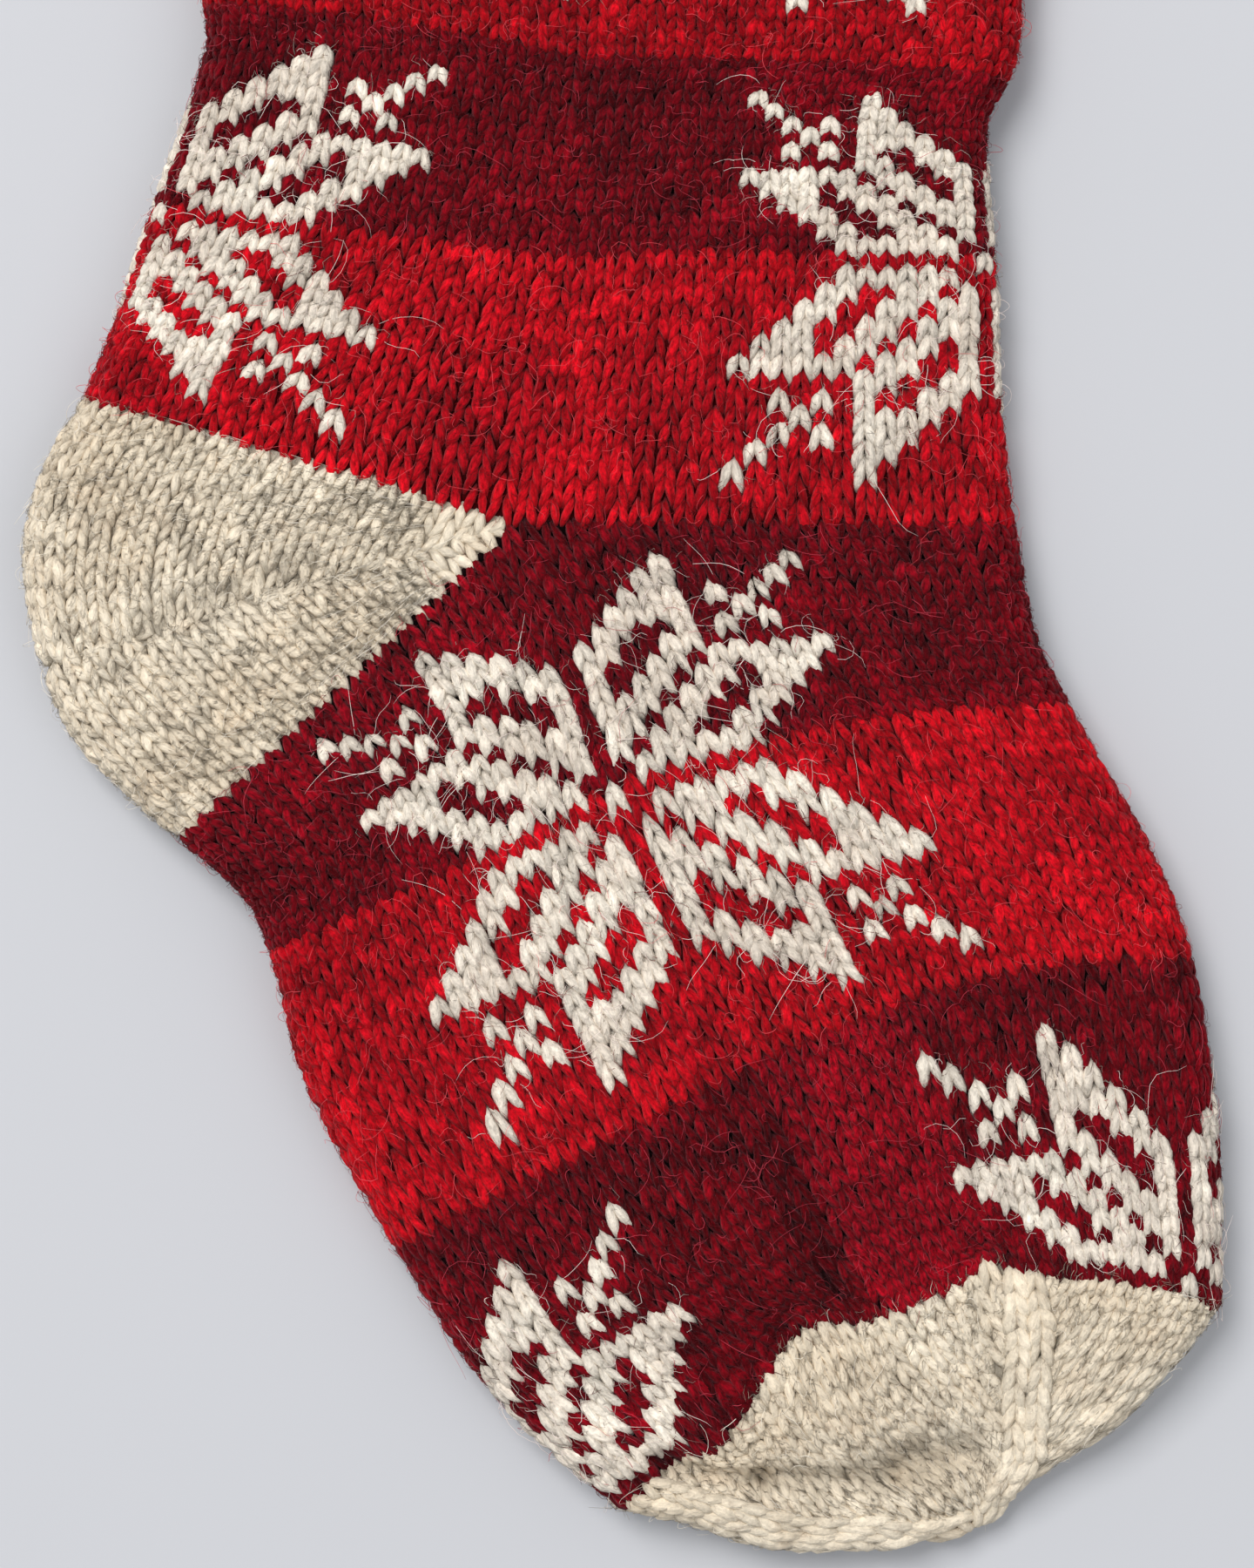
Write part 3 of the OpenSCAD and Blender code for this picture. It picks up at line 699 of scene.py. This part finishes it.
def knit_toe():
    piece = Piece("toe_cap")
    cells, chains = [], []
    for row in range(TOE_KNIT):
        share = toe_share(row + 0.5)[0]
        for k, wide in enumerate(PANELS):
            count = int(wide * TOE_COLS / COLS * share / 2 - CHAIN_WIDTH + 0.4)
            cells += [(row, ANCHOR_STEP * (k + 1) + j) for j in range(-count, count)]
            chains += [(row, ANCHOR_STEP * (k + 1 + len(PANELS)) + j) for j in (-1, 0)]
    for chosen, plump, proud in ((cells, 1.16, 0.0), (chains, 1.5, 0.8)):
        rows, cols = np.array(chosen).T
        made, shade, depth = stitches(on_toe, rows, cols, plump, proud)
        piece.add_tubes(made, shade, depth)
    lining(piece, on_toe_round, np.linspace(0, TOE_KNIT, 31), LINING_COLS)
    piece.finish(*WOOL["cream"], "stocking", "toe_cap")


GATHERED = 11                              # strands that are drawn together
OFF_TIP = np.array([0.35, -0.94, 0])       # direction in which the toe points


def gather_toe():
    """The last stitches, drawn together: short strands that meet at the tip."""
    piece = Piece("toe_gather")
    tip = TOE[-1][1]
    end = np.linspace(0, 1, RINGS)
    centre = np.array([*(tip[BACK] + tip[FRONT]) / 2, RELIEF + tip[THICK] / 2])
    hub = centre + OFF_TIP * 2.2
    round_rim = COLS * np.arange(GATHERED) / GATHERED
    starts, out = on_fabric(on_toe_round, np.array([TOE_KNIT - 0.5]), round_rim, np.array([-0.6]))
    centres = starts[:, None] * (1 - end[:, None]) + (hub + out[:, None] * 0.35) * end[:, None]
    centres = centres + (out[:, None] * 0.4 + OFF_TIP * 1.8) * np.sin(math.pi * end)[:, None]
    normals = np.repeat(out[:, None], RINGS, axis=1)
    wide = np.tile(1.5 * np.array([0.7, 1.0, 1.0, 0.9, 0.75, 0.5]), (GATHERED, 1))
    piece.add_tubes(tubes(centres, normals, wide, wide, THICK_SIDES), 0.5, 0.7)
    piece.finish(*WOOL["cream"], "stocking", "toe_gather")


def band_tone(name, row, col):
    """Lighter and darker stretches of yarn: a lighter panel over the toes, and one beside the heel."""
    if name == "foot_dark_toe":
        return np.where((col > 20) & (col < 29), 0.5, 0.0) - np.where((col > 9) & (col <= 20), 0.15, 0)
    if name == "foot_dark_instep":
        return np.where((col < 19) & (row < 76), 0.3, 0.0)
    return {"leg_red_middle": -0.24, "leg_dark_upper": -0.1}.get(name, 0.0)


def knit_bands():
    cells_of = {star[0]: [] for star in STARS}
    for name, yarn, place, first, last, foot in BANDS:
        cells_of[name] = []
        for row in range(first, last):
            for col in range(COLS):
                cells_of[star_of(row, col, foot) or name].append((row, col))
        piece = Piece(name)
        rows, cols = np.array(cells_of[name]).T
        made, shade, depth = stitches(place, rows, cols, tone=band_tone(name, rows, cols))
        piece.add_tubes(made, shade, depth)
        lining(piece, place, np.linspace(first, last, 2 * (last - first) + 1), LINING_COLS)
        piece.finish(*WOOL[yarn], "stocking", name)
    for name, _, _, foot in STARS:
        piece = Piece(name)
        rows, cols = np.array(cells_of[name]).T
        made, shade, depth = stitches(on_foot if foot else on_leg, rows, cols, plump=1.20, proud=0.30)
        piece.add_tubes(made, shade, depth)
        piece.finish(*WOOL["star"], "stocking", name)


CUFF_ROWS = 14
CUFF_PITCH = CUFF_H / CUFF_ROWS


def on_cuff(row, col, grow):
    """Rows of the cuff, from the mouth down, and stitches round it."""
    points = in_round(np.repeat(LEG[0][1][None], len(col), axis=0), col, grow)
    points[:, 1] += CUFF_H - row * CUFF_PITCH
    return points


def knit_cuff():
    """Two-and-two rib: raised pairs of stitches, and sunk pairs of crosswise purl bumps between them."""
    piece = Piece("cuff_rib")
    ribs = [(row, col) for row in range(CUFF_ROWS) for col in range(COLS) if col % 4 < 2]
    purls = [(row, col) for row in range(CUFF_ROWS) for col in range(COLS) if col % 4 >= 2]
    rows, cols = np.array(ribs).T
    made, shade, depth = stitches(on_cuff, rows, cols, plump=1.05, proud=0.35)
    piece.add_tubes(made, shade, depth)
    rows, cols = np.array(purls).T
    jitter = rng.normal(0, 1, (len(rows), 2))
    u = np.linspace(-0.1, 1.1, RINGS)
    v = 0.5 + 0.05 * jitter[:, :1] - 0.22 * np.sin(math.pi * STRAND)
    centres, normals = on_fabric(on_cuff, rows[:, None] + v, cols[:, None] + u,
                                 np.array([-2.0, -1.4, -1.15, -1.15, -1.4, -2.0]) + 0.1 * jitter[:, 1:])
    wide = np.tile(SWELL, (len(rows), 1))
    shades = np.clip(0.5 + 0.12 * jitter[:, 0], 0.1, 0.9)
    piece.add_tubes(tubes(centres, normals, wide, wide, SIDES), np.repeat(shades, RINGS * SIDES), 0.5)
    lining(piece, on_cuff, np.linspace(0, CUFF_ROWS, CUFF_ROWS + 1), LINING_COLS)
    piece.finish(*WOOL["cream"], "stocking", "cuff_rib")


def cast_on():
    """A strand for each column, wrapped over the rim of the mouth from its outer face to its inner."""
    rim = Piece("cast_on_edge")
    at = np.arange(COLS)[:, None]
    turn = np.linspace(-0.25, 1.25, RINGS) * math.pi / 2
    lean = np.linspace(-0.45, 0.95, RINGS)
    reach = (WALL + RELIEF) * 0.72
    centres, normals = on_fabric(on_cuff, -(reach * np.sin(turn) / CUFF_PITCH)[None] + 0 * at,
                                 at + lean[None], (reach * np.cos(turn) - WALL)[None] + 0 * at)
    wide = np.tile(1.35 * np.array([0.7, 0.95, 1, 1, 0.95, 0.7]), (COLS, 1))
    shades = np.clip(0.5 + 0.12 * rng.normal(0, 1, COLS), 0.1, 0.9)
    made = tubes(centres, normals, wide, wide, THICK_SIDES)
    rim.add_tubes(made, np.repeat(shades, RINGS * THICK_SIDES), 0.8)
    rim.finish(*WOOL["cream"], "stocking", "cast_on_edge")


# ---------------------------------------------------------------- hanging loop
loop_low, loop_high = (np.array(c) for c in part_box("hanging_loop"))
tack_low, tack_high = (np.array(c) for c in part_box("loop_tack"))
CORD_R = (loop_high[2] - loop_low[2]) / MM / 2
HINGE = ((np.array([(loop_low[0] + loop_high[0]) / 2, loop_low[1] + CORD_R * MM,
                    (loop_low[2] + loop_high[2]) / 2]) - ORIGIN) / MM)
LOOP_R = (loop_high[0] - loop_low[0]) / MM / 2 - CORD_R
BEND_R = CORD_R + 1
LEG_END = (loop_high[1] - loop_low[1]) / MM - 2 * CORD_R - LOOP_R


def loop_path():
    """Closed centre line of the loop from the middle of its bar, at every half millimetre."""
    def arc(centre, radius, start, end, steps):
        a = np.radians(np.linspace(start, end, steps))
        return np.column_stack([centre[0] + radius * np.cos(a), centre[1] + radius * np.sin(a)])
    corner = LOOP_R - BEND_R
    parts = [np.array([[0, 0], [corner, 0]]),
             arc((corner, BEND_R), BEND_R, -90, 0, 12),
             np.array([[LOOP_R, BEND_R], [LOOP_R, LEG_END]]),
             arc((0, LEG_END), LOOP_R, 0, 180, 40),
             np.array([[-LOOP_R, LEG_END], [-LOOP_R, BEND_R]]),
             arc((-corner, BEND_R), BEND_R, 180, 270, 12),
             np.array([[-corner, 0], [0, 0]])]
    path = np.concatenate(parts)
    run = np.concatenate([[0], np.cumsum(length(np.diff(path, axis=0)))])
    even = np.linspace(0, run[-1], 2 * int(run[-1]))
    return even, np.column_stack([np.interp(even, run, path[:, k]) for k in (0, 1)])


LOOP_RUN, LOOP_LINE = loop_path()
CORD_COLS = 6
CORD_ROWS = int(LOOP_RUN[-1] / STITCH_H)
CORE_SIDES = 2 * CORD_COLS


def on_cord(row, col, grow):
    """Rows along the cord of the loop and stitches round it."""
    at = np.mod(row / CORD_ROWS, 1.0) * LOOP_RUN[-1]
    x, y = (np.interp(at, LOOP_RUN, LOOP_LINE[:, k]) for k in (0, 1))
    ahead, behind = np.mod(at + 0.5, LOOP_RUN[-1]), np.mod(at - 0.5, LOOP_RUN[-1])
    dx, dy = (np.interp(ahead, LOOP_RUN, LOOP_LINE[:, k]) - np.interp(behind, LOOP_RUN, LOOP_LINE[:, k])
              for k in (0, 1))
    size = np.hypot(dx, dy) + 1e-9
    angle = 2 * math.pi * (col + 0.25) / CORD_COLS
    r = CORD_R - 0.2 + grow
    sideways = r * np.cos(angle)
    return HINGE + np.column_stack([x + sideways * dy / size, y - sideways * dx / size, r * np.sin(angle)])


def ring_faces(k, i):
    """Quads between points k along a closed ring and i round its section."""
    def at(a, b):
        return (a % k.shape[0]) * k.shape[1] + b % k.shape[1]
    return np.stack([at(k + 1, i), at(k + 1, i + 1), at(k, i + 1), at(k, i)], -1).reshape(-1, 4)


def knit_loop():
    piece = Piece("hanging_loop")
    cells = np.array([(row, col) for row in range(CORD_ROWS) for col in range(CORD_COLS)])
    made, shade, depth = stitches(on_cord, cells[:, 0], cells[:, 1], plump=0.82)
    piece.add_tubes(made, shade, depth)
    k, i = np.meshgrid(np.arange(3 * CORD_ROWS), np.arange(CORE_SIDES), indexing="ij")
    core = on_cord((k / 3).ravel(), (i / 2).ravel(), np.full(k.size, -1.1))
    faces = ring_faces(k, i)
    # painted shade: the core under the cord's stitches takes a dark tone and no light
    piece.add(core, [faces], [np.zeros((len(faces), 4, 2))], BACKING_PAINTED_SHADE, NO_LIGHT)
    piece.finish(*WOOL["loop"], "loop", "hanging_loop")


TACK_TURNS = 6           # turns of yarn round the bar
TACK_RUNGS = 5           # yarns woven across the darn
TACK_YARN = 0.84         # radius of the yarn it is sewn with
RING_POINTS = 24
UNEVEN = 0.06            # how far one turn stands out more than another


def darn(piece, lines, radius, shade):
    """Yarns along lines, each given as its x, y and z."""
    centres = np.stack([np.column_stack(line) for line in lines])
    up = np.zeros_like(centres) + np.array([0, 0, 1.0])
    wide = np.full(centres.shape[0:2], radius)
    piece.add_tubes(tubes(centres, up, wide, wide, THICK_SIDES), shade, 0.8)


def sew_tack():
    """Turns of yarn round the bar of the loop, and the darn that holds them to the back of the cuff."""
    piece = Piece("loop_tack")
    tack_w = (tack_high[0] - tack_low[0]) / MM
    ring = CORD_R + 1.25
    along = np.linspace(0, 2 * math.pi, RING_POINTS + 1)[:-1]
    outwards = np.column_stack([np.zeros(RING_POINTS), np.cos(along), np.sin(along)])
    turn = 2 * math.pi * np.arange(THICK_SIDES) / THICK_SIDES
    a, b = np.meshgrid(np.arange(RING_POINTS), np.arange(THICK_SIDES), indexing="ij")
    uv = np.stack([np.stack([a + 1, a + 1, a, a], -1) * 1.2,
                   np.stack([b, b + 1, b + 1, b], -1) / THICK_SIDES], -1)
    x = HINGE[0] + (np.arange(TACK_TURNS) + 0.5 - TACK_TURNS / 2) * tack_w / TACK_TURNS
    for k in range(TACK_TURNS):
        wobble, fade = rng.normal(0, UNEVEN, 2)
        circle = np.column_stack([np.full(RING_POINTS, x[k]) + 0.35 * np.sin(along),
                                  HINGE[1] + (ring + wobble) * np.cos(along),
                                  HINGE[2] + (ring + wobble) * np.sin(along)])
        points = (circle[:, None] + outwards[:, None] * (0.82 * np.cos(turn))[None, :, None]
                  + np.array([1.0, 0, 0]) * (0.86 * np.sin(turn))[None, :, None]).reshape(-1, 3)
        piece.add(points, [ring_faces(a, b)], [uv.reshape(-1, 4, 2)], 0.5 + 0.1 * fade / UNEVEN, 0.85)

    near = (tack_low[1] - ORIGIN[1]) / MM
    far = HINGE[1] - ring + 0.6
    level = RELIEF + WALL + 0.9
    y = np.linspace(near + 1, far, RINGS)
    weave = np.where(np.arange(RINGS) % 2 == 0, 0.25, -0.25)
    darn(piece, [(np.full(RINGS, x[k]), y, level + weave * (-1) ** k) for k in range(TACK_TURNS)],
         TACK_YARN, 0.5)
    across = np.linspace(-0.5, 0.5, RINGS) * tack_w * 0.98 + HINGE[0]
    darn(piece, [(across, np.full(RINGS, rung), np.full(RINGS, level + 0.55))
                 for rung in np.linspace(near + 1.5, far - 2.5, TACK_RUNGS)], TACK_YARN - 0.04, 0.55)
    piece.finish(*WOOL["loop"], "stocking", "loop_tack")


# ---------------------------------------------------------------- fibres
ALL_ROUND = (0, COLS)
HEEL_SPAN = (4 - HEEL_COLS, HEEL_COLS - 4)      # short of the heel point, where the fan closes up
STAR_ROWS = [(on_leg, False, (12, 69)), (on_foot, True, (73, 116))]     # where the stars lie
FIBRE_SIDES = 3
LONGEST = 15
LOWEST = 0.15                                   # of a fibre over what the stocking lies on
FLUFF = {"long": 2.4, "lift": 0.25, "rings": 4}
STAR_FLUFF = {"long": 2.4, "lift": 0.30, "rings": 4}
STRAY = {"long": 4.5, "lift": 0.8, "rings": 7}
STAR_STRAY = {"long": 6.0, "lift": 1.0, "rings": 7}


def fibres(piece, place, count, row_range, col_range, long, lift, rings, keep=None):
    """Fine curved fibres that leave the yarn, rise a little and come back or end in the air."""
    row = rng.uniform(*row_range, count)
    col = rng.uniform(*col_range, count)
    if keep:
        chosen = keep(row, col)
        row, col = row[chosen], col[chosen]
    count = len(row)
    size = np.minimum(long * np.exp(rng.normal(0, 0.5, count)), LONGEST)
    heading = rng.uniform(0, 2 * math.pi, count)
    curl = rng.normal(0, 1.7, (count, 1))
    wave = rng.normal(0, 0.5, (count, 1))
    rise = lift * rng.gamma(1.6, 0.6, count) + 0.75
    free = rng.uniform(0, 1, count) < 0.4
    thick = rng.uniform(0.05, 0.085, count)
    tone = rng.uniform(0.1, 1.0, count)
    t = np.linspace(0, 1, rings)[None]
    step = size[:, None] / (rings - 1)
    angle = heading[:, None] + curl * t + wave * np.sin(2 * math.pi * t)
    dx = np.cumsum(np.cos(angle) * step, 1)
    dy = np.cumsum(np.sin(angle) * step, 1)
    height = np.where(free[:, None], t ** 0.8, np.sin(math.pi * t) ** 0.7) * rise[:, None] + 0.1
    centres, normals = on_fabric(place, row[:, None] + dy / STITCH_H, col[:, None] + dx / STITCH_W, height)
    centres[..., 2] = np.maximum(centres[..., 2], LOWEST)
    taper = thick[:, None] * np.linspace(1.0, 0.5, rings)
    made = tubes(centres, normals, taper, taper, FIBRE_SIDES)
    piece.add_tubes(made, np.repeat(tone, rings * FIBRE_SIDES), 1.0)


def in_star(foot):
    def test(row, col):
        return np.array([star_of(int(r), int(c) % COLS, foot) is not None for r, c in zip(row, col)])
    return test


def in_ground(foot):
    def test(row, col):
        return ~in_star(foot)(row, col)
    return test


def add_fluff():
    """Short fibres close to the yarn, a few to each stitch, in the yarn's own wool."""
    for name, yarn, place, first, last, foot in BANDS:
        piece = Piece(name + "_fluff")
        count = 5 * COLS * (last - first)
        fibres(piece, place, count, (first, last), ALL_ROUND, **FLUFF, keep=in_ground(foot))
        piece.finish(*WOOL[yarn], "stocking")
    piece = Piece("star_fluff")
    for (place, foot, rows), count in zip(STAR_ROWS, (27000, 20000)):
        fibres(piece, place, count, rows, ALL_ROUND, **STAR_FLUFF, keep=in_star(foot))
    piece.finish(*WOOL["star"], "stocking")
    piece = Piece("heel_fluff")
    fibres(piece, heel_fan_rows, 8500, (0, HEEL_FAN_ROWS), HEEL_SPAN, **FLUFF)
    piece.finish(*WOOL["cream"], "stocking")
    piece = Piece("toe_fluff")
    fibres(piece, on_toe_round, 7000, (0, TOE_KNIT - 1), ALL_ROUND, **FLUFF)
    piece.finish(*WOOL["cream"], "stocking")


def add_fibres():
    """Long stray fibres, that stand further out and are thickest round the stars."""
    for yarn in ("red", "dark"):
        piece = Piece(yarn + "_fibres")
        for _, band_yarn, place, first, last, foot in BANDS:
            if band_yarn == yarn:
                fibres(piece, place, 60 * (last - first), (first, last), ALL_ROUND, **STRAY,
                       keep=in_ground(foot))
        piece.finish(*FIBRE_WOOL[yarn], "stocking")
    piece = Piece("star_fibres")
    for (place, foot, rows), count in zip(STAR_ROWS, (8000, 7000)):
        fibres(piece, place, count, rows, ALL_ROUND, **STAR_STRAY, keep=in_star(foot))
    piece.finish(*FIBRE_WOOL["star"], "stocking")
    piece = Piece("cream_fibres")
    fibres(piece, heel_fan_rows, 1300, (0, HEEL_FAN_ROWS), HEEL_SPAN, **STRAY)
    fibres(piece, on_toe_round, 1000, (0, TOE_KNIT - 1), ALL_ROUND, **STRAY)
    piece.finish(*FIBRE_WOOL["cream"], "stocking")


def fibre_wool(name, colour):
    """Single fibres: the yarn's colour seen through, so lighter, and different from one to the next."""
    material = bpy.data.materials.new(name)
    material.use_nodes = True
    tree = material.node_tree
    shader = tree.nodes["Principled BSDF"]
    shade = node(tree, "ShaderNodeAttribute", attribute_name="shade")
    tone = node(tree, "ShaderNodeMix", data_type="RGBA")
    tone.inputs[MIX_A].default_value = (*[0.75 * c for c in colour], 1)
    tone.inputs[MIX_B].default_value = (*colour, 1)
    tree.links.new(shade.outputs["Fac"], tone.inputs["Factor"])
    tree.links.new(tone.outputs[MIX_OUT], shader.inputs["Base Color"])
    shader.inputs["Roughness"].default_value = 0.6
    shader.inputs["Specular IOR Level"].default_value = 0.15
    return material


FIBRE_WOOL = {
    "cream": (fibre_wool("cream_fibre", (0.95, 0.88, 0.76)), "wool_cream"),
    "star": (fibre_wool("star_fibre", (1.0, 0.86, 0.80)), "wool_star"),
    "red": (fibre_wool("red_fibre", (0.85, 0.09, 0.11)), "wool_red"),
    "dark": (fibre_wool("dark_red_fibre", (0.55, 0.05, 0.08)), "wool_dark_red"),
}

knit_bands()
knit_heel()
knit_toe()
gather_toe()
knit_cuff()
cast_on()
knit_loop()
sew_tack()
add_fluff()
add_fibres()

# ---------------------------------------------------------------- camera, light and floor
VIEW_CENTRE = np.array([26.0, -60.0, 0.0]) * MM + ORIGIN
VIEW_HEIGHT = 0.36           # metres, from the top of the picture to its bottom
FACE_LEVEL = 0.011           # metres, of the plane that this is measured in
scene = bpy.context.scene
camera = bpy.data.cameras.new("camera")
camera.lens, camera.sensor_width = 100, 36
camera.clip_start, camera.clip_end = 0.01, 20
eye = bpy.data.objects.new("camera", camera)
eye_level = VIEW_HEIGHT * camera.lens / camera.sensor_width + FACE_LEVEL
eye.location = (VIEW_CENTRE[0], VIEW_CENTRE[1], eye_level)
scene.collection.objects.link(eye)
scene.camera = eye

ground = bpy.data.meshes.new("floor")
FLOOR_HALF = 40.0
FLOOR_LEVEL = -0.0004
corners = [(FLOOR_HALF * x, FLOOR_HALF * y, FLOOR_LEVEL) for x, y in ((-1, -1), (1, -1), (1, 1), (-1, 1))]
ground.from_pydata(corners, [], [(0, 1, 2, 3)])
floor = bpy.data.objects.new("floor", ground)
scene.collection.objects.link(floor)
paper = bpy.data.materials.new("paper")
paper.use_nodes = True
paper.node_tree.nodes["Principled BSDF"].inputs["Base Color"].default_value = (0.49, 0.50, 0.53, 1)
paper.node_tree.nodes["Principled BSDF"].inputs["Roughness"].default_value = 0.9
ground.materials.append(paper)


def softbox(name, where, size, watts, colour):
    light = bpy.data.lights.new(name, "AREA")
    light.size, light.energy, light.color = size, watts, colour
    lamp = bpy.data.objects.new(name, light)
    lamp.location = where
    aim = np.array([VIEW_CENTRE[0], VIEW_CENTRE[1], 0]) - np.array(where)
    lamp.rotation_euler = (math.acos(-aim[2] / length(aim)), 0, math.atan2(aim[1], aim[0]) - math.pi / 2)
    scene.collection.objects.link(lamp)


softbox("key", (-1.2, 1.3, 2.9), 1.7, 104, (1.0, 0.98, 0.96))
softbox("fill", (1.6, -1.1, 2.7), 2.2, 18, (0.96, 0.98, 1.0))
world = bpy.data.worlds.new("studio")
world.use_nodes = True
world.node_tree.nodes["Background"].inputs["Color"].default_value = (0.97, 0.985, 1.0, 1)
world.node_tree.nodes["Background"].inputs["Strength"].default_value = 0.55
scene.world = world
scene.view_settings.view_transform = "Standard"
